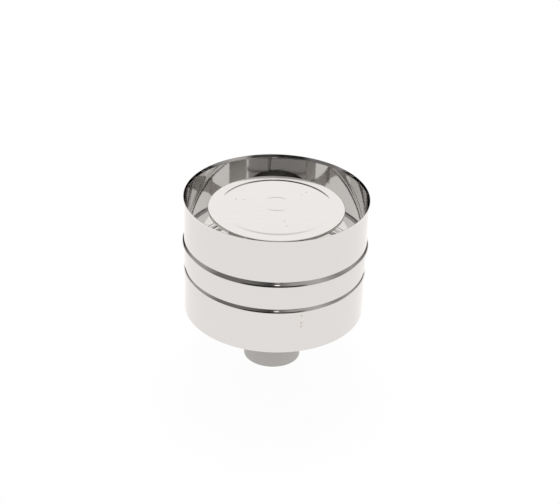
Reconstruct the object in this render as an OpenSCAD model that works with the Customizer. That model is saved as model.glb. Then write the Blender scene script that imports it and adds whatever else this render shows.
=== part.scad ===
// Chimney deflector: a flue spigot, an open two-part shell round it and a shallow cap over it.
// The origin is the centre of the spigot's lower end, with +Z up along the flue.

/* [Flue spigot] */
// Outside radius of the spigot pipe
pipe_r = 50; // [45:0.5:60]
// Wall of the spigot pipe
pipe_t = 0.8; // [0.6:0.1:1.2]
// Height of the pipe's mouth above the brackets
mouth_lift = 6; // [2:0.5:10]
// Height of the middle of the stop bead, which sets how far the spigot goes into the flue
stop_bead_z = 66; // [40:1:85]
// Width of the stop bead along the pipe
stop_bead_w = 8; // [6:0.5:10]
// Height of the stop bead above the pipe's wall
stop_bead_h = 2.2; // [1.5:0.1:3]

/* [Shell] */
// Outside radius of the lower shell, which the upper shell slips over
shell_r = 157.5; // [150:0.5:170]
// Sheet thickness of the shells and the cap
sheet_t = 0.7; // [0.5:0.1:1]
// Height of the lower shell's bottom edge
shell_bottom_z = 102; // [90:1:120]
// Height of the shell's upper edge, the rim
rim_z = 318; // [314:1:340]
// Height of the joint line, at the upper shell's lower edge
joint_z = 192; // [190:0.5:200]
// Length of the lower shell that stands inside the upper shell
overlap = 6.5; // [4:0.5:15]
// Slip between the two shells, on the radius
shell_slip = 0.15; // [0.1:0.05:0.3]
// Height of the upper bead's foot, where its short underside leaves the wall
upper_bead_z = 229; // [220:0.5:245]
// Height of the upper bead above the shell's wall
upper_bead_h = 3.5; // [3:0.1:4.2]
// Radius of the upper bead's long slope, from its crest up to the wall
upper_bead_slope = 20; // [17:0.5:23]
// Distance from the joint line down to the lower bead's foot
lower_bead_drop = 14; // [12:0.5:18]
// Height of the lower bead above the shell's wall
lower_bead_h = 1.6; // [1.3:0.1:2]
// Radius of the lower bead's long slope, from its crest up to the neck
lower_bead_slope = 16; // [13.5:0.5:18.5]
// Depth of the neck between the lower bead and the upper shell
neck_depth = 1.2; // [1:0.1:1.5]
// Height of the rim's flared lip
rim_lip_h = 5.3; // [3:0.1:10]
// Turn of the rim's lip outwards from the wall
rim_lip_turn = 17.5; // [5:0.5:25]

/* [Cap] */
// Outside radius of the cap
cap_r = 118.2; // [105:0.1:130]
// Height of the cap's brim at its edge
cap_brim_z = 296.1; // [287:0.1:307]
// Depth of the cap's turned-down edge
cap_lip_h = 5; // [3:0.5:10]
// Outside radius of the bend at the cap's edge
cap_bend_r = 1.2; // [1.1:0.1:3]
// Rise of the cap's brim, from its edge to the pressed ring
brim_rise = 0.7; // [0:0.1:3]
// Radius of the pressed ring's foot, where the crown steps up from the brim
ring_r = 100.5; // [90:0.5:103]
// Height of the pressed ring's step
ring_h = 1.3; // [0.8:0.1:3]
// Width of the pressed ring's step across the cap
ring_w = 5; // [3:0.5:8]
// Rise of the crown's shallow cone, from the pressed ring to the centre
crown_rise = 5.4; // [2:0.1:10]
// Radius of the pressed centre
centre_r = 25.5; // [15:0.5:35]
// Height of the pressed centre's step
centre_h = 0.6; // [0.4:0.1:1.5]
// Width of the pressed centre's step across the cap
centre_w = 3; // [1:0.5:6]

/* [Supports] */
// Direction of the first support round the flue, seen from above
support_az = -70.3; // [-90:0.1:-60]
// Thickness of the brackets and stays
strap_t = 1.5; // [1:0.1:2]
// Distance from the foot of the lower bead down to a bracket's upper edge
bracket_drop = 1; // [0.5:0.1:4]
// Height of a bracket from its lower to its upper edge
bracket_h = 33; // [32:0.5:38]
// Width of the flanges of brackets and stays
flange_w = 12; // [11:0.5:16]
// Distance from a flange's free edge to its line of welds or rivets
flange_edge = 4.9; // [4:0.1:5.5]
// Distance from the pipe's wall out to a stay's inner edge
stay_gap = 4; // [3.5:0.5:7]
// Width of a stay
stay_w = 30; // [28:0.5:33]

/* [Fasteners] */
// Radius of a spot weld
weld_r = 2.2; // [1.5:0.1:2.5]
// Depth of a spot weld's mark in the polished face
weld_mark = 0.12; // [0.05:0.01:0.2]
// Heights of a bracket's three shell welds above its lower edge
shell_weld_hs = [7.3, 14.2, 28.2];
// Distances of a stay's two cap welds from its inner edge
cap_weld_ds = [5, 18.5];
// Radius of a rivet's shank
rivet_r = 1.6; // [1.2:0.1:2]
// Radius of a rivet's head
rivet_head_r = 3.2; // [2.6:0.1:3.4]
// Height of a rivet's domed head
rivet_head_h = 1.2; // [0.8:0.1:1.6]
// Radius of a rivet's formed tail
rivet_tail_r = 2.5; // [2.2:0.1:2.8]
// Height of a rivet's formed tail
rivet_tail_h = 1.4; // [1:0.1:1.8]
// Distance of a rivet from the upper or lower edge of its bracket
rivet_edge = 7; // [5:0.5:10]

/* [Fits] */
// Gap between faces that are seated on each other
seat = 0.1; // [0.05:0.01:0.2]
// Gap round a fastener in its hole, on the radius
hole_gap = 0.05; // [0.03:0.01:0.1]

/* [Hidden] */
$fn = 96;

support_count = 3;
front = 0;
right = 1;
left = 2;

// Longer than any sheet stack, for cutting through it
through = 8;

shell_in_r = shell_r - sheet_t;
upper_in_r = shell_r + shell_slip;
upper_r = upper_in_r + sheet_t;
lower_bead_z = joint_z - lower_bead_drop;

// The lower shell necks in above its bead and widens again just inside the upper shell
neck_r = shell_r - neck_depth;
neck_top_z = joint_z - 1.8;
flare_z = joint_z + 0.2;

// A shell's bead: the turns of its underside and slope from the wall, and its two small roundings
underside_turn = 60;
crest_turn = 14;
slope_turn = 34;
hollow_round = 0.8;
crest_round = 1.3;

// The cap's upper face, from its edge inwards, as radii and heights
ring_foot_z = cap_brim_z + brim_rise;
ring_top_r = ring_r - ring_w;
ring_top_z = ring_foot_z + ring_h;
crown_slope = crown_rise / ring_top_r;
crown_angle = atan(crown_slope);

// A bracket runs from the pipe to the lower shell, with a flange at each end
bracket_in_r = pipe_r + seat;
bracket_out_r = shell_in_r - seat;
bracket_top_z = lower_bead_z - bracket_drop;
bracket_z = bracket_top_z - bracket_h;
pipe_top_z = bracket_top_z + mouth_lift;
weld_y = flange_edge - flange_w + strap_t;
rivet_zs = [bracket_z + rivet_edge, bracket_top_z - rivet_edge];

// A stay lies against the bracket's face and carries the cap on a bent foot
stay_y = strap_t + seat;
stay_in_r = pipe_r + stay_gap;
stay_out_r = stay_in_r + stay_w;
stay_mid_r = (stay_in_r + stay_out_r) / 2;

// Height of the cone of the cap's crown at a radius
function crown_z(r) = ring_top_z + (ring_top_r - r) * crown_slope;

// Height of the upper face of a stay's foot at a radius
function foot_z(r) = crown_z(r) - (sheet_t + seat) / cos(crown_angle);

// Radius of a round bead's section, from its width and height
function bead_round(w, h) = (w * w / 4 + h * h) / (2 * h);

// Points on an arc of a section, from one direction to another
function arc(r, z, radius, from, to, steps, first = 0) = [
    for (i = [first : steps])
        [r + radius * cos(from + (to - from) * i / steps),
         z + radius * sin(from + (to - from) * i / steps)]
];

// Face of a shell's bead, from its foot up to the wall above, or the sheet's face that lies behind
// it by "depth". The underside is short, the crest tight, and the slope long.
function bead_face(below_r, above_r, foot, h, slope_round, depth) =
    let (
        tail_r = below_r + hollow_round * (1 - cos(underside_turn)),
        crest_r = below_r + h - crest_round,
        run = (crest_r + crest_round * cos(underside_turn) - tail_r) / sin(underside_turn),
        crest_z = foot + (hollow_round + crest_round) * sin(underside_turn)
            + run * cos(underside_turn),
        slope_r = crest_r - (slope_round - crest_round) * cos(crest_turn),
        slope_z = crest_z - (slope_round - crest_round) * sin(crest_turn),
        ease = (slope_round * cos(slope_turn) - above_r + slope_r) / (1 - cos(slope_turn)),
        ease_r = slope_r + (slope_round + ease) * cos(slope_turn),
        ease_z = slope_z + (slope_round + ease) * sin(slope_turn)
    )
    concat(
        arc(below_r + hollow_round, foot, hollow_round + depth, 180, 180 - underside_turn, 4),
        arc(crest_r, crest_z, crest_round - depth, -underside_turn, crest_turn, 8),
        arc(slope_r, slope_z, slope_round - depth, crest_turn, slope_turn, 6, 1),
        arc(ease_r, ease_z, ease + depth, 180 + slope_turn, 180, 6, 1)
    );

// Joins a sheet's outer and inner faces, both drawn from the bottom up, to one section
module sheet_section(outer, inner) {
    last = len(inner) - 1;
    polygon(concat(outer, [for (i = [0 : last]) inner[last - i]]));
}

// Places a piece at one of the supports round the flue
module at_support(k) {
    rotate([0, 0, support_az + k * 360 / support_count]) children();
}

// Turned outline of a plain tube wall with an outside radius
module wall(r, t, low, high) {
    translate([r - t, low]) square([t, high - low]);
}

// Turned outline of a tube wall that swells outwards into one round bead
module beaded_wall(r, t, low, high, bead_z, w, h) {
    round_r = bead_round(w, h);
    difference() {
        wall(r, t, low, high);
        translate([r - 2 * t, bead_z - w / 2]) square([3 * t, w]);
    }
    intersection() {
        translate([r + h - round_r, bead_z]) difference() {
            circle(round_r);
            circle(round_r - t);
        }
        translate([r - t, bead_z - w / 2]) square([h + 2 * t, w]);
    }
}

// Part of a flange that lies round the flue, from the web to its free edge
module flange(r) {
    turn = flange_w / r * 180 / PI;
    rotate([0, 0, asin(strap_t / r) - turn])
        rotate_extrude(angle = turn)
            translate([r, bracket_z]) square([strap_t, bracket_h]);
}

// Puts a piece that points along +Z on the line of a flange's fasteners, pointing outwards
module on_flange(r, z) {
    rotate([0, 0, asin(weld_y / r)]) translate([r, 0, z]) rotate([0, 90, 0]) children();
}

// Radial cylinder through the sheets on both sides of a radius
module flange_hole(hole_r, r, z) {
    on_flange(r, z) translate([0, 0, -through / 2]) cylinder(r = hole_r, h = through);
}

// Rivet along +Z: a domed head under the sheets, a shank through them and a formed tail on top
module rivet(grip) {
    dome_r = bead_round(2 * rivet_head_r, rivet_head_h);
    rotate_extrude() intersection() {
        translate([0, dome_r - rivet_head_h - seat]) circle(dome_r);
        translate([0, -rivet_head_h - seat]) square([rivet_head_r, rivet_head_h]);
    }
    translate([0, 0, -rivet_head_h / 2]) cylinder(r = rivet_r, h = grip + rivet_head_h);
    translate([0, 0, grip + seat]) cylinder(r = rivet_tail_r, h = rivet_tail_h);
}

// Cylinders square to the cap's crown, where a stay's foot is welded
module cap_pins(pin_r, low, high) {
    for (d = cap_weld_ds)
        translate([stay_in_r + d, weld_y, crown_z(stay_in_r + d)])
            rotate([0, crown_angle, 0])
                translate([0, 0, low]) cylinder(r = pin_r, h = high - low);
}

// Holes across the bracket's web and the stay, where these are riveted
module stay_holes() {
    for (z = rivet_zs)
        translate([stay_mid_r, -through, z])
            rotate([-90, 0, 0]) cylinder(r = rivet_r + hole_gap, h = 2 * through);
}

// Spigot pipe, with a stop bead below the shell and its mouth under the cap
module inlet_pipe() {
    color("darkgray") difference() {
        rotate_extrude()
            beaded_wall(pipe_r, pipe_t, 0, pipe_top_z, stop_bead_z, stop_bead_w, stop_bead_h);
        for (k = [0 : support_count - 1]) at_support(k)
            for (z = rivet_zs) flange_hole(rivet_r + hole_gap, pipe_r, z);
    }
}

// One face of the lower shell's sheet, from its bottom edge to its edge inside the upper shell
function lower_face(depth) = concat(
    [[shell_r - depth, shell_bottom_z]],
    bead_face(shell_r, neck_r, lower_bead_z, lower_bead_h, lower_bead_slope, depth),
    [[neck_r - depth, neck_top_z], [shell_r - depth, flare_z],
     [shell_r - depth, joint_z + overlap]]
);

// One face of the upper shell's sheet, from the joint line up to its flared lip
function upper_face(depth) = concat(
    [[upper_r - depth, joint_z]],
    bead_face(upper_r, upper_r, upper_bead_z, upper_bead_h, upper_bead_slope, depth),
    [[upper_r - depth, rim_z - rim_lip_h],
     [upper_r + rim_lip_h * tan(rim_lip_turn) - depth, rim_z]]
);

// Lower shell: open below, with a bead and a neck under the joint
module lower_shell() {
    color("gainsboro") difference() {
        rotate_extrude() sheet_section(lower_face(0), lower_face(sheet_t));
        for (k = [0 : support_count - 1]) at_support(k)
            for (h = shell_weld_hs) flange_hole(weld_r + hole_gap, shell_r, bracket_z + h);
    }
}

// One face of the cap's sheet, from its turned-down edge in to its centre
function cap_face(depth) = concat(
    [[cap_r - depth, cap_brim_z - cap_lip_h]],
    arc(cap_r - cap_bend_r, cap_brim_z - cap_bend_r, cap_bend_r - depth, 0, 90, 6),
    [for (p = [[ring_r, ring_foot_z], [ring_top_r, ring_top_z], [centre_r, crown_z(centre_r)],
               [centre_r - centre_w, crown_z(centre_r - centre_w) + centre_h],
               [0, crown_z(0) + centre_h]]) p - [0, depth]]
);

// Upper shell: slips over the lower one, with a stiffening bead and a flared lip
module upper_shell() {
    color("gainsboro") rotate_extrude()
        sheet_section(upper_face(0), upper_face(sheet_t));
}

// Cap: a shallow cone with a pressed ring and centre, and a turned-down edge
module cap_disc() {
    color("whitesmoke") difference() {
        rotate_extrude() sheet_section(cap_face(0), cap_face(sheet_t));
        for (k = [0 : support_count - 1]) at_support(k)
            cap_pins(weld_r + hole_gap, -through, through);
    }
}

// Bracket: an upright radial plate with a flange on the pipe and one on the lower shell
module shell_bracket() {
    color("silver") difference() {
        union() {
            flange(bracket_in_r);
            flange(bracket_out_r - strap_t);
            translate([bracket_in_r + strap_t / 2, 0, bracket_z])
                cube([bracket_out_r - bracket_in_r - strap_t, strap_t, bracket_h]);
        }
        for (z = rivet_zs) flange_hole(rivet_r + hole_gap, pipe_r, z);
        for (h = shell_weld_hs) flange_hole(weld_r + hole_gap, shell_r, bracket_z + h);
        stay_holes();
    }
}

// Stay: a flat upright strap against the bracket, with its top bent into a foot under the cap
module cap_stay() {
    foot_low = strap_t / cos(crown_angle);
    color("silver") difference() {
        union() {
            translate([0, stay_y + strap_t, 0]) rotate([90, 0, 0]) linear_extrude(strap_t)
                polygon([
                    [stay_in_r, bracket_z], [stay_out_r, bracket_z],
                    [stay_out_r, foot_z(stay_out_r)], [stay_in_r, foot_z(stay_in_r)]
                ]);
            translate([0, stay_y + strap_t, 0]) rotate([90, 0, 0]) linear_extrude(flange_w + stay_y)
                polygon([
                    [stay_in_r, foot_z(stay_in_r) - foot_low],
                    [stay_out_r, foot_z(stay_out_r) - foot_low],
                    [stay_out_r, foot_z(stay_out_r)], [stay_in_r, foot_z(stay_in_r)]
                ]);
        }
        cap_pins(weld_r + hole_gap, -through, through);
        stay_holes();
    }
}

// Rivets through a bracket's inner flange and the pipe's wall, with their heads outside
module pipe_rivets() {
    grip = pipe_t + seat + strap_t;
    color("dimgray") for (z = rivet_zs)
        on_flange(pipe_r, z) translate([0, 0, seat + strap_t]) mirror([0, 0, 1]) rivet(grip);
}

// Rivets through a bracket's web and its stay, with their heads on the stay
module stay_rivets() {
    grip = stay_y + strap_t;
    color("dimgray") for (z = rivet_zs)
        translate([stay_mid_r, grip, z]) rotate([90, 0, 0]) rivet(grip);
}

// Spot welds that join a bracket's outer flange to the lower shell
module shell_welds() {
    depth = sheet_t + seat + strap_t;
    color("gray") for (h = shell_weld_hs)
        on_flange(shell_r, bracket_z + h) translate([0, 0, -depth])
            cylinder(r = weld_r, h = depth - weld_mark);
}

// Spot welds that join a stay's foot to the cap
module cap_welds() {
    color("gray") cap_pins(weld_r, -sheet_t - seat - strap_t, -weld_mark);
}

module shell_bracket_front() at_support(front) shell_bracket();
module shell_bracket_right() at_support(right) shell_bracket();
module shell_bracket_left() at_support(left) shell_bracket();
module cap_stay_front() at_support(front) cap_stay();
module cap_stay_right() at_support(right) cap_stay();
module cap_stay_left() at_support(left) cap_stay();
module pipe_rivets_front() at_support(front) pipe_rivets();
module pipe_rivets_right() at_support(right) pipe_rivets();
module pipe_rivets_left() at_support(left) pipe_rivets();
module stay_rivets_front() at_support(front) stay_rivets();
module stay_rivets_right() at_support(right) stay_rivets();
module stay_rivets_left() at_support(left) stay_rivets();
module shell_welds_front() at_support(front) shell_welds();
module shell_welds_right() at_support(right) shell_welds();
module shell_welds_left() at_support(left) shell_welds();
module cap_welds_front() at_support(front) cap_welds();
module cap_welds_right() at_support(right) cap_welds();
module cap_welds_left() at_support(left) cap_welds();

inlet_pipe();
lower_shell();
upper_shell();
cap_disc();
shell_bracket_front();
shell_bracket_right();
shell_bracket_left();
cap_stay_front();
cap_stay_right();
cap_stay_left();
pipe_rivets_front();
pipe_rivets_right();
pipe_rivets_left();
stay_rivets_front();
stay_rivets_right();
stay_rivets_left();
shell_welds_front();
shell_welds_right();
shell_welds_left();
cap_welds_front();
cap_welds_right();
cap_welds_left();
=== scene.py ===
import math

import bmesh
import bpy
from mathutils import Matrix, Vector


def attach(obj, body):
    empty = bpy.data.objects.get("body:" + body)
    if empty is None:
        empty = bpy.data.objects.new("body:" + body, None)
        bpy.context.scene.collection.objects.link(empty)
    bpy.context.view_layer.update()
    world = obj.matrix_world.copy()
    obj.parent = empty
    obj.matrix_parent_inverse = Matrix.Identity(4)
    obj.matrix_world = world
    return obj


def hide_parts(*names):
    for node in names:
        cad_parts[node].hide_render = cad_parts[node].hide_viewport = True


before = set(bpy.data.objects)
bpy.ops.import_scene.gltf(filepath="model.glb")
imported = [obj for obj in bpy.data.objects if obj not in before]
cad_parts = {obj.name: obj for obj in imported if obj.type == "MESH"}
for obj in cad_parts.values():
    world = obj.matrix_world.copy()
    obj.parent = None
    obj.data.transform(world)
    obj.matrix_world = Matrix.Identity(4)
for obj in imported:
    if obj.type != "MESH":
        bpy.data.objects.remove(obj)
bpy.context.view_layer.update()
MM = 0.001

# The camera: a product photographer's long lens, in front of the cowl and a little above it.
# It stands so far off that both shells keep nearly straight sides. Its distance, in metres, is
# measured from the middle of the rim, and it is then panned and tilted to frame the whole cowl.
RIM = 318
DISTANCE, LENS, SENSOR_W = 2.6737, 100.53, 36
ELEVATION, ROLL, PAN, TILT = (math.radians(a) for a in (27.889, 2.024, 0.183, -2.050))
away = Vector((0, -math.cos(ELEVATION), math.sin(ELEVATION)))
ahead, across = -away, Vector((1, 0, 0))
up = across.cross(ahead)
ahead = (ahead * math.cos(PAN) * math.cos(TILT) + across * math.sin(PAN) * math.cos(TILT)
         + up * math.sin(TILT)).normalized()
level = ahead.cross(Vector((0, 0, 1))).normalized()
upright = level.cross(ahead)
right_side = level * math.cos(ROLL) + upright * math.sin(ROLL)
top_side = upright * math.cos(ROLL) - level * math.sin(ROLL)
camera_data = bpy.data.cameras.new("long_lens")
camera_data.sensor_width = SENSOR_W
camera_data.lens = LENS
camera = bpy.data.objects.new("long_lens", camera_data)
camera.matrix_world = Matrix((right_side, top_side, -ahead)).transposed().to_4x4()
camera.location = away * DISTANCE + Vector((0, 0, RIM * MM))
bpy.context.collection.objects.link(camera)
bpy.context.scene.camera = camera


# The inlet pipe: a satin stainless tube, rolled from sheet. Its lower end goes into the flue's
# socket as far as the stop bead, and its mouth stands open under the cap.
PIPE_R, PIPE_SHEET, PIPE_TOP = 50, 0.8, 183
STOP_BEAD, STOP_BEAD_W, STOP_BEAD_H = 66, 8, 2.2
STOP_BEAD_FOOT, STOP_BEAD_CREST = 1, 1.6
PIPE_EDGE = 0.15
# Steps in a full turn and in a bend, and an arc's step in mm with the fewest and most of them
TURN_STEPS, BEND_STEPS = 288, 5
ARC_STEP, LEAST_STEPS, MOST_STEPS = 0.35, 6, 40
# An edge that turns by more than this is a cut edge of the sheet
SHARP = math.radians(50)


def bend(bm, corners, radius):
    """Rounds the corners of a drawn line, as sheet goes round a bend."""
    bmesh.ops.bevel(bm, geom=corners, offset=radius * MM, offset_type="OFFSET",
                    segments=BEND_STEPS, profile=0.5, affect="VERTICES", material=-1)


def draw(bm, start, *moves):
    """Draws a piece's section in the XZ plane, in mm. A move is a point (r, z), a point with the
    radius of its corner (r, z, radius), or ("round", r, z, degrees), a turn about a centre."""
    tip = bm.verts.new((start[0] * MM, 0, start[1] * MM))
    corners = []
    for move in moves:
        if move[0] == "round":
            centre = Vector((move[1] * MM, 0, move[2] * MM))
            radius_mm = (tip.co - centre).length / MM
            angle = math.radians(move[3])
            steps = round(abs(angle) * radius_mm / ARC_STEP)
            steps = max(LEAST_STEPS, min(steps, MOST_STEPS))
            tip = bmesh.ops.spin(bm, geom=[tip], cent=centre, axis=(0, 1, 0), angle=angle,
                                 steps=steps)["geom_last"][0]
        else:
            new = bmesh.ops.extrude_vert_indiv(bm, verts=[tip])["verts"][0]
            new.co = (move[0] * MM, 0, move[1] * MM)
            tip = new
            if len(move) == 3:
                corners.append((new, move[2]))
    for corner, radius in corners:
        bend(bm, [corner], radius)


def turn(bm, steps=TURN_STEPS):
    """Spins the drawn section once round the flue's axis."""
    bmesh.ops.spin(bm, geom=bm.verts[:] + bm.edges[:], cent=(0, 0, 0), axis=(0, 0, 1),
                   angle=2 * math.pi, steps=steps, use_merge=True)
    bmesh.ops.remove_doubles(bm, verts=bm.verts, dist=1e-6)


def give_thickness(bm, thickness, facing):
    """Makes a sheet solid, behind the face that looks the same way as facing(its middle)."""
    bmesh.ops.recalc_face_normals(bm, faces=bm.faces[:])
    bm.normal_update()
    widest = max(bm.faces, key=lambda face: face.calc_area())
    if widest.normal.dot(facing(widest.calc_center_median())) < 0:
        bmesh.ops.reverse_faces(bm, faces=bm.faces[:])
        bm.normal_update()
    bmesh.ops.solidify(bm, geom=bm.faces[:], thickness=thickness * MM)


def outwards(point):
    """The direction from the flue's axis out to a point."""
    return Vector((point.x, point.y, 0))


def soften(bm, radius):
    """Takes the sharpness off cut edges."""
    bm.normal_update()
    hard = [e for e in bm.edges if e.is_manifold and e.calc_face_angle() > SHARP]
    bmesh.ops.bevel(bm, geom=hard, offset=radius * MM, offset_type="OFFSET", segments=2,
                    profile=0.5, affect="EDGES", material=-1, clamp_overlap=True)


def finish_piece(bm, name, material, slot, *nodes):
    """Makes the object, which stands for its CAD nodes and rides on the only body."""
    for face in bm.faces:
        face.smooth = True
    bm.normal_update()
    for edge in bm.edges:
        if edge.is_manifold and edge.calc_face_angle() > SHARP:
            edge.smooth = False
    mesh = bpy.data.meshes.new(name)
    bm.to_mesh(mesh)
    bm.free()
    mesh.materials.append(material)
    piece = bpy.data.objects.new(name, mesh)
    bpy.context.collection.objects.link(piece)
    # Wide faces keep their own direction next to narrow bends, as polished sheet does
    weigh = piece.modifiers.new("flat_faces_stay_flat", "WEIGHTED_NORMAL")
    weigh.keep_sharp = True
    weigh.weight = 80
    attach(piece, "root")
    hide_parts(*nodes)


def linear(hex_colour):
    """Turns an sRGB hex colour to the linear values that Blender works in."""
    parts = [int(hex_colour[i:i + 2], 16) / 255 for i in (1, 3, 5)]
    return [c / 12.92 if c <= 0.04045 else ((c + 0.055) / 1.055) ** 2.4 for c in parts] + [1]


def add_node(tree, kind, settings=None, links=None):
    """Adds a node. Settings are attributes or input values, and links feed inputs."""
    node = tree.nodes.new(kind)
    for key, value in (settings or {}).items():
        if isinstance(key, str) and hasattr(node, key):
            setattr(node, key, value)
        else:
            node.inputs[key].default_value = value
    for key, source in (links or {}).items():
        tree.links.new(source, node.inputs[key])
    return node


def new_material(name, settings):
    """A Principled material with its constant values on the shader, and Object coordinates."""
    material = bpy.data.materials.new(name)
    material.use_nodes = True
    tree = material.node_tree
    shader = tree.nodes["Principled BSDF"]
    for key, value in settings.items():
        shader.inputs[key].default_value = value
    place = add_node(tree, "ShaderNodeTexCoord").outputs["Object"]
    return material, tree, shader, place


# Stainless steel tube with a satin, 2B mill finish: the acid bath leaves it matt and finely
# mottled, and the rolls leave faint lines round it. The mottle is drawn 4 mm wide and the lines
# 1 mm apart, coarser than the real ones, so that they show.
satin_steel, tree, shader, place = new_material("satin_2b_stainless_pipe", {"Metallic": 1})
mottle = add_node(tree, "ShaderNodeTexNoise", {"Scale": 250, "Detail": 4, "Roughness": 0.6},
                  {"Vector": place})
round_lines = add_node(tree, "ShaderNodeMapping", {"Scale": (6, 6, 900)}, {"Vector": place})
lines = add_node(tree, "ShaderNodeTexNoise", {"Scale": 1, "Detail": 2},
                 {"Vector": round_lines.outputs["Vector"]})
tone = add_node(tree, "ShaderNodeMix", {"data_type": "RGBA", 6: linear("#A8A7A6"),
                                        7: linear("#B7B6B5")}, {0: mottle.outputs["Fac"]})
tree.links.new(tone.outputs[2], shader.inputs["Base Color"])
dull = add_node(tree, "ShaderNodeMapRange", {"To Min": 0.4, "To Max": 0.55},
                {"Value": mottle.outputs["Fac"]})
tree.links.new(dull.outputs["Result"], shader.inputs["Roughness"])
relief = add_node(tree, "ShaderNodeBump", {"Strength": 0.25, "Distance": 0.00003},
                  {"Height": lines.outputs["Fac"]})
tree.links.new(relief.outputs["Normal"], shader.inputs["Normal"])

bm = bmesh.new()
draw(bm, (PIPE_R, 0), (PIPE_R, STOP_BEAD - STOP_BEAD_W / 2, STOP_BEAD_FOOT),
     (PIPE_R + STOP_BEAD_H, STOP_BEAD - STOP_BEAD_W / 4, STOP_BEAD_CREST),
     (PIPE_R + STOP_BEAD_H, STOP_BEAD + STOP_BEAD_W / 4, STOP_BEAD_CREST),
     (PIPE_R, STOP_BEAD + STOP_BEAD_W / 2, STOP_BEAD_FOOT), (PIPE_R, PIPE_TOP))
turn(bm)
give_thickness(bm, PIPE_SHEET, outwards)
soften(bm, PIPE_EDGE)
finish_piece(bm, "inlet_pipe_tube", satin_steel, "pipe_steel", "inlet_pipe")


# The shell brackets: three strips of stainless sheet, each bent to a U. One flange is riveted to
# the pipe and the other is spot-welded inside the lower shell, so they carry the whole cowl.
SUPPORT_AZIMUTHS = {"front": -70.3, "right": 49.7, "left": 169.7}
STRAP, FLANGE, STRIP_EDGE = 1.5, 12, 0.25
BRACKET_LOW, BRACKET_HIGH = 144, 177
# The flanges seat on the pipe and inside the shell at these radii
BRACKET_IN_R, BRACKET_OUT_R = 50.1, 156.7
BEND_R, FLANGE_STEPS = 2.4, 12

# Sheared stainless strip, straight from the mill: grey, half matt, with the grain of the rolls
# along it, drawn 0.8 mm wide so that it shows.
strip_steel, tree, shader, place = new_material("mill_finish_stainless_strip",
                                                {"Metallic": 1, "Roughness": 0.34})
along = add_node(tree, "ShaderNodeMapping", {"Scale": (30, 30, 1200)}, {"Vector": place})
grain = add_node(tree, "ShaderNodeTexNoise", {"Scale": 1, "Detail": 3},
                 {"Vector": along.outputs["Vector"]})
tone = add_node(tree, "ShaderNodeMix", {"data_type": "RGBA", 6: linear("#A9A7A4"),
                                        7: linear("#C4C1BE")}, {0: grain.outputs["Fac"]})
tree.links.new(tone.outputs[2], shader.inputs["Base Color"])
relief = add_node(tree, "ShaderNodeBump", {"Strength": 0.3, "Distance": 0.00004},
                  {"Height": grain.outputs["Fac"]})
tree.links.new(relief.outputs["Normal"], shader.inputs["Normal"])


def to_support(bm, side):
    """Turns a piece that was built on the X axis to its place round the flue."""
    bmesh.ops.rotate(bm, verts=bm.verts[:], cent=(0, 0, 0),
                     matrix=Matrix.Rotation(math.radians(SUPPORT_AZIMUTHS[side]), 3, "Z"))


for side in SUPPORT_AZIMUTHS:
    bm = bmesh.new()
    # In plan: round the pipe, out along the web, and round inside the shell
    corner_in = (math.sqrt(BRACKET_IN_R ** 2 - STRAP ** 2) * MM, STRAP * MM, BRACKET_LOW * MM)
    corner_out = (math.sqrt(BRACKET_OUT_R ** 2 - STRAP ** 2) * MM, STRAP * MM, BRACKET_LOW * MM)
    ends = [bm.verts.new(corner_in), bm.verts.new(corner_out)]
    bm.edges.new(ends)
    for corner, radius in zip(ends, (BRACKET_IN_R, BRACKET_OUT_R)):
        bmesh.ops.spin(bm, geom=[corner], cent=(0, 0, 0), axis=(0, 0, 1),
                       angle=-FLANGE / radius, steps=FLANGE_STEPS)
    bend(bm, ends, BEND_R)
    raised = bmesh.ops.extrude_edge_only(bm, edges=bm.edges[:])["geom"]
    bmesh.ops.translate(bm, verts=[g for g in raised if isinstance(g, bmesh.types.BMVert)],
                        vec=(0, 0, (BRACKET_HIGH - BRACKET_LOW) * MM))
    give_thickness(bm, STRAP, lambda middle: Vector((0, 1, 0)))
    soften(bm, STRIP_EDGE)
    to_support(bm, side)
    finish_piece(bm, f"shell_bracket_{side}_strip", strip_steel, "strap_steel",
                 f"shell_bracket_{side}")


# The rivets: plain stainless, with a domed head on the side that they are put in from and a
# formed tail on the other. Two hold each bracket to the pipe and two hold each stay to its bracket.
RIVET_R, HEAD_R, HEAD_H = 1.6, 3.2, 1.2
DOME_R, DOME_H, DOME_ROUND = HEAD_R * 0.55, HEAD_H * 0.88, 1
TAIL_R, TAIL_H, TAIL_TAPER, TAIL_ROUND = 2.5, 1.4, 0.3, 0.4
FOOT_ROUND = 0.2
RIVET_EDGE, FLANGE_EDGE = 7, 4.9
RIVET_HEIGHTS = (BRACKET_LOW + RIVET_EDGE, BRACKET_HIGH - RIVET_EDGE)
SEAT, FASTENER_STEPS = 0.1, 32
# The line of fasteners on a flange, and the stay that stands beside the bracket's web
WELD_Y = FLANGE_EDGE - FLANGE + STRAP
STAY_IN, STAY_OUT, STAY_Y = 54, 84, STRAP + SEAT

# Cold-headed stainless steel: half bright, with duller specks where the dies pressed it. The
# specks are drawn 1 mm wide, coarser than the real ones.
rivet_steel, tree, shader, place = new_material("cold_headed_stainless_rivet", {"Metallic": 1})
speck = add_node(tree, "ShaderNodeTexNoise", {"Scale": 900, "Detail": 3}, {"Vector": place})
tone = add_node(tree, "ShaderNodeMix", {"data_type": "RGBA", 6: linear("#A09D9A"),
                                        7: linear("#BDBAB7")}, {0: speck.outputs["Fac"]})
tree.links.new(tone.outputs[2], shader.inputs["Base Color"])
dull = add_node(tree, "ShaderNodeMapRange", {"To Min": 0.2, "To Max": 0.36},
                {"Value": speck.outputs["Fac"]})
tree.links.new(dull.outputs["Result"], shader.inputs["Roughness"])


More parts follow.
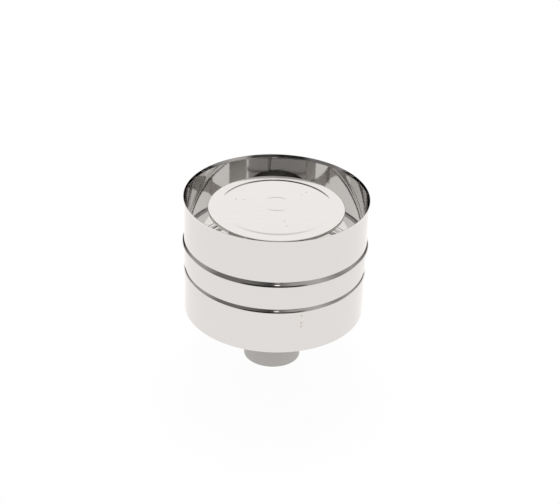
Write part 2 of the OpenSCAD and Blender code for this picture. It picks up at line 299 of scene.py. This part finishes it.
def add_turned(bm, matrix, *section):
    """Turns a small fastener from its section and adds it, put in place by the matrix."""
    one = bmesh.new()
    draw(one, *section)
    turn(one, FASTENER_STEPS)
    bmesh.ops.transform(one, matrix=matrix, verts=one.verts[:])
    bmesh.ops.recalc_face_normals(one, faces=one.faces[:])
    loose = bpy.data.meshes.new("fastener_on_the_bench")
    one.to_mesh(loose)
    one.free()
    bm.from_mesh(loose)
    bpy.data.meshes.remove(loose)


def rivet(bm, grip, matrix):
    """One rivet along +Z, with its head below and its tail above the sheets that it grips."""
    add_turned(bm, matrix, (0, -SEAT - HEAD_H), (DOME_R, -SEAT - DOME_H, DOME_ROUND),
               (HEAD_R, -SEAT, FOOT_ROUND), (RIVET_R, -SEAT), (RIVET_R, grip + SEAT),
               (TAIL_R, grip + SEAT, FOOT_ROUND),
               (TAIL_R - TAIL_TAPER, grip + SEAT + TAIL_H, TAIL_ROUND), (0, grip + SEAT + TAIL_H))


def radial(radius, height):
    """Places a piece that points along +Z on a flange's line of fasteners, pointing outwards."""
    return (Matrix.Rotation(math.asin(WELD_Y / radius), 4, "Z")
            @ Matrix.Translation((radius * MM, 0, height * MM))
            @ Matrix.Rotation(math.pi / 2, 4, "Y"))


for side in SUPPORT_AZIMUTHS:
    bm = bmesh.new()
    for height in RIVET_HEIGHTS:
        rivet(bm, PIPE_SHEET + SEAT + STRAP, radial(PIPE_R, height)
              @ Matrix.Translation((0, 0, (SEAT + STRAP) * MM)) @ Matrix.Rotation(math.pi, 4, "Y"))
    to_support(bm, side)
    finish_piece(bm, f"pipe_rivets_{side}_pair", rivet_steel, "rivet_steel",
                 f"pipe_rivets_{side}")
    bm = bmesh.new()
    for height in RIVET_HEIGHTS:
        middle = ((STAY_IN + STAY_OUT) / 2 * MM, (STAY_Y + STRAP) * MM, height * MM)
        rivet(bm, STAY_Y + STRAP,
              Matrix.Translation(middle) @ Matrix.Rotation(math.pi / 2, 4, "X"))
    to_support(bm, side)
    finish_piece(bm, f"stay_rivets_{side}_pair", rivet_steel, "rivet_steel",
                 f"stay_rivets_{side}")


# The lower shell: mirror-polished stainless sheet, rolled to a short tube. The bead under the joint
# stiffens it, and above its neck the upper shell slips over the last few millimetres.
SHELL_R, SHEET, SHEET_EDGE = 157.5, 0.7, 0.12
SHELL_LOW, JOINT, OVERLAP = 102, 192, 6.5
LOWER_BEAD, LOWER_BEAD_H, LOWER_BEAD_SLOPE = 178, 1.6, 16
# The neck's wall, its upper end, and where the sheet is back at the shell's own radius
NECK_R, NECK_TOP, FLARE = 156.3, JOINT - 1.8, JOINT + 0.2

# Mirror-polished stainless sheet: a light grey that mirrors the room, with a very slight waviness
# from the rolls, 70 mm long and a few hundredths of a millimetre deep, that bends what it mirrors.
# The polishing lines run round the shell and are drawn 1 mm apart, coarser than the real ones.
mirror_steel, tree, shader, place = new_material("mirror_polished_stainless_sheet", {"Metallic": 1})
round_lines = add_node(tree, "ShaderNodeMapping", {"Scale": (5, 5, 1000)}, {"Vector": place})
lines = add_node(tree, "ShaderNodeTexNoise", {"Scale": 1, "Detail": 2},
                 {"Vector": round_lines.outputs["Vector"]})
waves = add_node(tree, "ShaderNodeTexNoise", {"Scale": 14, "Detail": 1}, {"Vector": place})
tone = add_node(tree, "ShaderNodeMix", {"data_type": "RGBA", 6: linear("#D5D4D3"),
                                        7: linear("#D9D8D7")}, {0: lines.outputs["Fac"]})
tree.links.new(tone.outputs[2], shader.inputs["Base Color"])
dull = add_node(tree, "ShaderNodeMapRange", {"To Min": 0.03, "To Max": 0.07},
                {"Value": lines.outputs["Fac"]})
tree.links.new(dull.outputs["Result"], shader.inputs["Roughness"])
relief = add_node(tree, "ShaderNodeBump", {"Strength": 1, "Distance": 0.0001},
                  {"Height": waves.outputs["Fac"]})
tree.links.new(relief.outputs["Normal"], shader.inputs["Normal"])

# How far the sheet turns under a bead, at its crest and down its slope, and its tight rounds
UNDERSIDE_TURN, CREST_TURN, SLOPE_TURN = (math.radians(a) for a in (60, 14, 34))
HOLLOW_ROUND, CREST_ROUND = 0.8, 1.3


def bead(below_r, above_r, foot, rise, slope_round):
    """Moves up a shell's bead, from the wall at its foot to the wall above: a short underside, a
    tight crest, and a long slope that eases back into the wall."""
    tail_r = below_r + HOLLOW_ROUND * (1 - math.cos(UNDERSIDE_TURN))
    tail_z = foot + HOLLOW_ROUND * math.sin(UNDERSIDE_TURN)
    crest_r = below_r + rise - CREST_ROUND
    run = (crest_r + CREST_ROUND * math.cos(UNDERSIDE_TURN) - tail_r) / math.sin(UNDERSIDE_TURN)
    under_z = tail_z + run * math.cos(UNDERSIDE_TURN)
    crest_z = under_z + CREST_ROUND * math.sin(UNDERSIDE_TURN)
    slope_r = crest_r - (slope_round - CREST_ROUND) * math.cos(CREST_TURN)
    slope_z = crest_z - (slope_round - CREST_ROUND) * math.sin(CREST_TURN)
    ease = (slope_round * math.cos(SLOPE_TURN) - above_r + slope_r) / (1 - math.cos(SLOPE_TURN))
    return ((below_r, foot),
            ("round", below_r + HOLLOW_ROUND, foot, math.degrees(UNDERSIDE_TURN)),
            (tail_r + run * math.sin(UNDERSIDE_TURN), under_z),
            ("round", crest_r, crest_z, -math.degrees(UNDERSIDE_TURN + CREST_TURN)),
            ("round", slope_r, slope_z, -math.degrees(SLOPE_TURN - CREST_TURN)),
            ("round", slope_r + (slope_round + ease) * math.cos(SLOPE_TURN),
             slope_z + (slope_round + ease) * math.sin(SLOPE_TURN), math.degrees(SLOPE_TURN)))


bm = bmesh.new()
draw(bm, (SHELL_R, SHELL_LOW),
     *bead(SHELL_R, NECK_R, LOWER_BEAD, LOWER_BEAD_H, LOWER_BEAD_SLOPE),
     (NECK_R, NECK_TOP), (SHELL_R, FLARE), (SHELL_R, JOINT + OVERLAP))
turn(bm)
give_thickness(bm, SHEET, outwards)
soften(bm, SHEET_EDGE)
finish_piece(bm, "lower_shell_tube", mirror_steel, "shell_steel", "lower_shell")


# The shell welds: three resistance spot welds through each bracket's outer flange. The electrode
# leaves a small dished mark with a raised lip in the polished face, matt and a little darker.
WELD_R, WELD_DEPTH = 2.2, SHEET + SEAT + STRAP
DISH_R, DISH_H, DISH_ROUND = WELD_R * 0.55, 0.03, 0.4
WELD_LIP_R, WELD_LIP_ROUND = WELD_R * 0.82, 0.2
SHELL_WELD_LIP = 0.09
SHELL_WELD_HEIGHTS = (151.3, 158.2, 172.2)

# A spot weld's face: the electrode presses it matt and the heat turns it faintly straw, in
# clouds about 2 mm wide.
weld_steel, tree, shader, place = new_material("spot_weld_face", {"Metallic": 1, "Roughness": 0.3})
cloud = add_node(tree, "ShaderNodeTexNoise", {"Scale": 500, "Detail": 3}, {"Vector": place})
tone = add_node(tree, "ShaderNodeMix", {"data_type": "RGBA", 6: linear("#C6C0B9"),
                                        7: linear("#D8D4CF")}, {0: cloud.outputs["Fac"]})
tree.links.new(tone.outputs[2], shader.inputs["Base Color"])


def spot_weld(bm, lip, matrix):
    """A nugget along +Z: its mark stands at zero and the weld goes down through the sheets."""
    add_turned(bm, matrix, (0, DISH_H), (DISH_R, DISH_H, DISH_ROUND),
               (WELD_LIP_R, lip, WELD_LIP_ROUND), (WELD_R, 0), (WELD_R, -WELD_DEPTH),
               (0, -WELD_DEPTH))


for side in SUPPORT_AZIMUTHS:
    bm = bmesh.new()
    for height in SHELL_WELD_HEIGHTS:
        spot_weld(bm, SHELL_WELD_LIP, radial(SHELL_R, height))
    to_support(bm, side)
    finish_piece(bm, f"shell_welds_{side}_marks", weld_steel, "weld_steel", f"shell_welds_{side}")


# The cap: a disc pressed from polished stainless sheet, as a very shallow cone with a stepped ring
# and a stepped centre that stiffen it. Its edge is turned down to a short lip.
CAP_R, BRIM_TOP, CAP_LIP, CAP_BEND = 118.2, 296.1, 5, 1.2
RING_R, RING_FOOT, RING_TOP_R, RING_TOP = 100.5, BRIM_TOP + 0.7, 95.5, BRIM_TOP + 2
CROWN_RISE, CENTRE_R, CENTRE_W, CENTRE_H = 5.4, 25.5, 3, 0.6
RING_ROUND, CENTRE_ROUND = 2, 1.2
CROWN_SLOPE = CROWN_RISE / RING_TOP_R


def crown(r):
    """Height of the cap's cone at a radius."""
    return RING_TOP + (RING_TOP_R - r) * CROWN_SLOPE


# Polished stainless sheet as on the shells, but painted lighter than them. This is painted light
# that stands in for the brighter light the cap's upward face mirrors. It is a little less smooth,
# and its rolling lines run straight across it, drawn 1 mm apart so that they show.
cap_steel, tree, shader, place = new_material("polished_stainless_cap_sheet_painted_lighter", {"Metallic": 1})
straight = add_node(tree, "ShaderNodeMapping", {"Scale": (5, 800, 5)}, {"Vector": place})
lines = add_node(tree, "ShaderNodeTexNoise", {"Scale": 1, "Detail": 2},
                 {"Vector": straight.outputs["Vector"]})
waves = add_node(tree, "ShaderNodeTexNoise", {"Scale": 16, "Detail": 1}, {"Vector": place})
# Both tones are painted lighter than the shells' steel, as painted light on the cap's upward face
tone = add_node(tree, "ShaderNodeMix", {"data_type": "RGBA", 6: linear("#E7E6E5"),
                                        7: linear("#EFEEED")}, {0: lines.outputs["Fac"]})
tree.links.new(tone.outputs[2], shader.inputs["Base Color"])
dull = add_node(tree, "ShaderNodeMapRange", {"To Min": 0.06, "To Max": 0.12},
                {"Value": lines.outputs["Fac"]})
tree.links.new(dull.outputs["Result"], shader.inputs["Roughness"])
relief = add_node(tree, "ShaderNodeBump", {"Strength": 1, "Distance": 0.0001},
                  {"Height": waves.outputs["Fac"]})
tree.links.new(relief.outputs["Normal"], shader.inputs["Normal"])

bm = bmesh.new()
draw(bm, (0, crown(0) + CENTRE_H),
     (CENTRE_R - CENTRE_W, crown(CENTRE_R - CENTRE_W) + CENTRE_H, CENTRE_ROUND),
     (CENTRE_R, crown(CENTRE_R), CENTRE_ROUND), (RING_TOP_R, RING_TOP, RING_ROUND),
     (RING_R, RING_FOOT, RING_ROUND), (CAP_R, BRIM_TOP, CAP_BEND), (CAP_R, BRIM_TOP - CAP_LIP))
turn(bm)
give_thickness(bm, SHEET, lambda middle: Vector((0, 0, 1)))
soften(bm, SHEET_EDGE)
finish_piece(bm, "cap_disc_pressing", cap_steel, "cap_steel", "cap_disc")


# The cap stays: flat strips that stand against the brackets and reach up to the cap, with the top
# bent over to a foot that follows the cap's slope and is spot-welded under it.
CROWN_TILT = math.atan(CROWN_SLOPE)


def foot(r):
    """Height of a foot's upper face at a radius."""
    return crown(r) - (SHEET + SEAT) / math.cos(CROWN_TILT)


for side in SUPPORT_AZIMUTHS:
    bm = bmesh.new()
    back = (STAY_Y + STRAP) * MM
    low = bm.verts.new((STAY_IN * MM, back, BRACKET_LOW * MM))
    corner = bm.verts.new((STAY_IN * MM, back, foot(STAY_IN) * MM))
    free = bm.verts.new((STAY_IN * MM, (STRAP - FLANGE) * MM, foot(STAY_IN) * MM))
    bm.edges.new((low, corner))
    bm.edges.new((corner, free))
    bend(bm, [corner], BEND_R)
    far = [g for g in bmesh.ops.extrude_edge_only(bm, edges=bm.edges[:])["geom"]
           if isinstance(g, bmesh.types.BMVert)]
    bmesh.ops.translate(bm, verts=far, vec=((STAY_OUT - STAY_IN) * MM, 0, 0))
    bmesh.ops.translate(bm, verts=[v for v in far if v.co.z > BRACKET_HIGH * MM],
                        vec=(0, 0, (foot(STAY_OUT) - foot(STAY_IN)) * MM))
    give_thickness(bm, STRAP, lambda middle: Vector((0, 1, 0)))
    soften(bm, STRIP_EDGE)
    to_support(bm, side)
    finish_piece(bm, f"cap_stay_{side}_strip", strip_steel, "strap_steel", f"cap_stay_{side}")


# The cap welds: two spot welds through each stay's foot. Their marks are fainter than the shell's,
# because the electrode on the cap's upper side was wide and flat.
CAP_WELD_LIP = 0.04
CAP_WELD_DISTANCES = (5, 18.5)

# The same weld face, but bright: the wide electrode left the cap's polish nearly whole.
faint_weld, tree, shader, place = new_material("faint_spot_weld_face",
                                               {"Metallic": 1, "Roughness": 0.16})
cloud = add_node(tree, "ShaderNodeTexNoise", {"Scale": 500, "Detail": 3}, {"Vector": place})
tone = add_node(tree, "ShaderNodeMix", {"data_type": "RGBA", 6: linear("#D6D2CE"),
                                        7: linear("#E2DEDA")}, {0: cloud.outputs["Fac"]})
tree.links.new(tone.outputs[2], shader.inputs["Base Color"])

for side in SUPPORT_AZIMUTHS:
    bm = bmesh.new()
    for distance in CAP_WELD_DISTANCES:
        r = STAY_IN + distance
        spot_weld(bm, CAP_WELD_LIP, Matrix.Translation((r * MM, WELD_Y * MM, crown(r) * MM))
                  @ Matrix.Rotation(CROWN_TILT, 4, "Y"))
    to_support(bm, side)
    finish_piece(bm, f"cap_welds_{side}_marks", faint_weld, "weld_steel", f"cap_welds_{side}")


# The upper shell: the same mirror-polished sheet, rolled a little wider so that it slips over the
# lower shell. A deeper bead stiffens its middle, and its rim is flared outwards to a short lip.
SLIP = 0.15
UPPER_R = SHELL_R + SLIP + SHEET
UPPER_BEAD, UPPER_BEAD_H, UPPER_BEAD_SLOPE = 229, 3.5, 20
RIM_LIP, RIM_LIP_TURN, RIM_LIP_BEND = 5.3, math.radians(17.5), 0.6

bm = bmesh.new()
draw(bm, (UPPER_R, JOINT),
     *bead(UPPER_R, UPPER_R, UPPER_BEAD, UPPER_BEAD_H, UPPER_BEAD_SLOPE),
     (UPPER_R, RIM - RIM_LIP, RIM_LIP_BEND),
     (UPPER_R + RIM_LIP * math.tan(RIM_LIP_TURN), RIM))
turn(bm)
give_thickness(bm, SHEET, outwards)
soften(bm, SHEET_EDGE)
finish_piece(bm, "upper_shell_tube", mirror_steel, "shell_steel", "upper_shell")


# The studio: a wide white table top under the cowl, a white sweep behind it between two dark
# flags, and the darker half of the room behind the camera, which the polished beads pick up.
TABLE_HALF_W, TABLE_HALF_D, TABLE_MIDDLE = (length * MM for length in (2100, 980, -360))

bm = bmesh.new()
bmesh.ops.create_grid(bm, x_segments=1, y_segments=1, size=1)
bmesh.ops.scale(bm, verts=bm.verts[:], vec=(TABLE_HALF_W, TABLE_HALF_D, 1))
bmesh.ops.translate(bm, verts=bm.verts[:], vec=(0, TABLE_MIDDLE, 0))
floor_mesh = bpy.data.meshes.new("studio_floor")
bm.to_mesh(floor_mesh)
bm.free()
floor = bpy.data.objects.new("studio_floor", floor_mesh)
bpy.context.collection.objects.link(floor)

# The light is a little warm, which is where the steel's faint warmth in the picture comes from
WARM = linear("#FFFCFA")
# White paint, matt. The camera sees it nearly all as plain white, so that only a faint shadow is
# left on it, and the steel mirrors it as plain warm white.
SEEN_SHARE, MIRRORED_STRENGTH = 0.97, 1.09
floor_white = bpy.data.materials.new("white_painted_floor")
floor_white.use_nodes = True
tree = floor_white.node_tree
tree.nodes.clear()
rays = add_node(tree, "ShaderNodeLightPath").outputs
paint = add_node(tree, "ShaderNodeBsdfDiffuse", {"Color": linear("#F4F3F2")})
white_glow = add_node(tree, "ShaderNodeEmission", {"Color": linear("#FFFFFF"), "Strength": 1})
warm_glow = add_node(tree, "ShaderNodeEmission",
                     {"Color": WARM, "Strength": MIRRORED_STRENGTH})
seen = add_node(tree, "ShaderNodeMath", {"operation": "MULTIPLY", 1: SEEN_SHARE},
                {0: rays["Is Camera Ray"]})
mirrored = add_node(tree, "ShaderNodeMath", {"operation": "MAXIMUM"},
                    {0: rays["Is Glossy Ray"], 1: rays["Is Transmission Ray"]})
lit = add_node(tree, "ShaderNodeMixShader", None,
               {0: mirrored.outputs[0], 1: paint.outputs[0], 2: warm_glow.outputs[0]})
blend = add_node(tree, "ShaderNodeMixShader", None,
                 {0: seen.outputs[0], 1: lit.outputs[0], 2: white_glow.outputs[0]})
add_node(tree, "ShaderNodeOutputMaterial", None, {"Surface": blend.outputs[0]})
floor_mesh.materials.append(floor_white)

studio = bpy.data.worlds.new("studio")
studio.use_nodes = True
bpy.context.scene.world = studio
tree = studio.node_tree
tree.nodes.clear()
look = add_node(tree, "ShaderNodeTexCoord").outputs["Generated"]
looks = add_node(tree, "ShaderNodeSeparateXYZ", None, {0: look}).outputs
around = add_node(tree, "ShaderNodeTexGradient", {"gradient_type": "RADIAL"}, {"Vector": look})
# The walls all round, by name: where each stands, in turns from the left (-X) by the camera's side
# (-Y) and the right (+X) to the white sweep behind (+Y), and how bright it is
WALLS = (("left wall", 0.0, 0.45), ("left corner", 0.06, 0.2), ("door", 0.17, 0.2),
         ("behind the camera", 0.238, 0.07), ("window curtain", 0.31, 0.42),
         ("window", 0.4, 0.56), ("right corner", 0.47, 0.32), ("right wall", 0.53, 0.45),
         ("right flag", 0.635, 0.13), ("edge of the sweep", 0.668, 0.13), ("sweep", 0.68, 1.0),
         ("sweep's other edge", 0.815, 1.0), ("left flag", 0.823, 0.02),
         ("end of the flag", 0.87, 0.02), ("far left corner", 0.885, 0.14),
         ("far left wall", 0.94, 0.45))
walls = add_node(tree, "ShaderNodeValToRGB", None, {0: around.outputs["Fac"]})
while len(walls.color_ramp.elements) < len(WALLS):
    walls.color_ramp.elements.new(0.5)
for stop, (_, position, brightness) in zip(walls.color_ramp.elements, WALLS):
    stop.position = position
    stop.color = [brightness * part for part in WARM[:3]] + [1]
# The ceiling takes over from the walls between these two heights of the direction looked in
CEILING_FROM, CEILING_TO, CEILING_BRIGHTNESS = 0.66, 0.9, 0.6
ceiling_colour = [CEILING_BRIGHTNESS * part for part in WARM[:3]] + [1]
ceiling = add_node(tree, "ShaderNodeMapRange",
                   {"From Min": CEILING_FROM, "From Max": CEILING_TO,
                    "interpolation_type": "SMOOTHSTEP"}, {"Value": looks["Z"]})
room = add_node(tree, "ShaderNodeMix", {"data_type": "RGBA", 7: ceiling_colour},
                {0: ceiling.outputs["Result"], 6: walls.outputs["Color"]})
# Behind the camera the room gets darker towards its floor, and the white sweep doesn't
LOW_FROM, LOW_TO, BEHIND_FROM, BEHIND_TO, DARKENED = 0.14, 0.22, -0.86, -0.76, 0.12
low = add_node(tree, "ShaderNodeMapRange",
               {"From Min": LOW_FROM, "From Max": LOW_TO, "To Min": DARKENED},
               {"Value": looks["Z"]})
behind = add_node(tree, "ShaderNodeMapRange",
                  {"From Min": BEHIND_FROM, "From Max": BEHIND_TO, "To Min": DARKENED},
                  {"Value": looks["Y"]})
daylight = add_node(tree, "ShaderNodeMath", {"operation": "MAXIMUM"},
                    {0: low.outputs["Result"], 1: behind.outputs["Result"]})
room_light = add_node(tree, "ShaderNodeBackground", None,
                      {"Color": room.outputs[2], "Strength": daylight.outputs[0]})
plain_white = add_node(tree, "ShaderNodeBackground",
                       {"Color": linear("#FFFFFF"), "Strength": 1})
rays = add_node(tree, "ShaderNodeLightPath").outputs
white_or_room = add_node(tree, "ShaderNodeMixShader", None,
                         {0: rays["Is Camera Ray"], 1: room_light.outputs[0],
                          2: plain_white.outputs[0]})
add_node(tree, "ShaderNodeOutputWorld", None, {"Surface": white_or_room.outputs[0]})


# The lamps: a large softbox above and behind the cowl gives nearly all the light, and its shape
# isn't mirrored. A small one beside the camera puts the short glint on the beads.
LAMPS_FACE = 0.2


def softbox(name, azimuth, elevation, distance, width, height, watts):
    """A soft light that faces the middle of the cowl. Lengths are in metres."""
    lamp = bpy.data.lights.new(name, "AREA")
    lamp.shape = "ELLIPSE"
    lamp.size, lamp.size_y, lamp.energy, lamp.color = width, height, watts, WARM[:3]
    stand = bpy.data.objects.new(name, lamp)
    round_by, lift = math.radians(azimuth), math.radians(elevation)
    way = Vector((math.cos(round_by) * math.cos(lift), math.sin(round_by) * math.cos(lift),
                  math.sin(lift)))
    stand.location = way * distance + Vector((0, 0, LAMPS_FACE))
    stand.rotation_euler = way.to_track_quat("Z", "Y").to_euler()
    bpy.context.collection.objects.link(stand)
    return stand


softbox("lamp_beside_the_camera", azimuth=-86, elevation=19, distance=3, width=0.34, height=0.3,
        watts=0.5)
key = softbox("overhead_softbox", azimuth=90, elevation=68, distance=3, width=1.4, height=1.4,
              watts=84)
key.visible_glossy = False

bpy.context.scene.view_settings.view_transform = "Standard"
